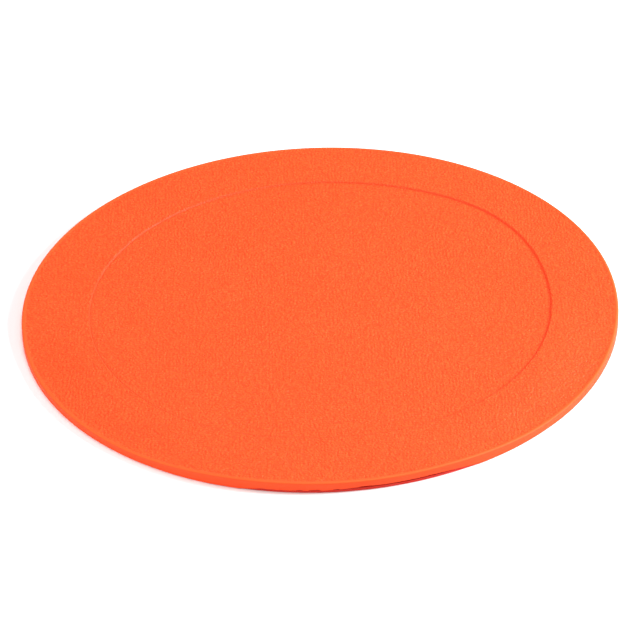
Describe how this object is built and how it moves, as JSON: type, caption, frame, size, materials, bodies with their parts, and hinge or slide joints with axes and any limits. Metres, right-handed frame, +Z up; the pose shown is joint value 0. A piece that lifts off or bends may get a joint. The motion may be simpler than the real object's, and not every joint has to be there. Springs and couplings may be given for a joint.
{
  "type": "flying disc",
  "caption": "Soft flat throwing disc with a leather-grained top, a shallow recessed centre and a plain edge wall, which also lies flat as a floor spot.",
  "frame": {"origin": "centre of the disc on the surface that it rests on", "axes": "+Z up out of the grained face, along the axis of the round outline, +X towards the disc's right as it is seen from the front, +Y towards its back. The recess swells by 3.6 mm at 41 degrees from +X towards +Y and is flattened by 2.8 mm at 91 degrees the other way, which is how the disc's turn about +Z is told"},
  "size_m": [0.2286, 0.2286, 0.0046],
  "materials": {
    "cover_orange": "satin, leather-grained moulded vinyl",
    "base_orange": "matte, finely textured moulded vinyl",
    "hoop_orange": "matte",
    "core_foam": "matte closed-cell foam"
  },
  "bodies": {
    "root": {"grained_cover": "cover_orange", "base_sheet": "base_orange", "rim_hoop": "hoop_orange", "foam_core": "core_foam"}
  },
  "joints": []
}
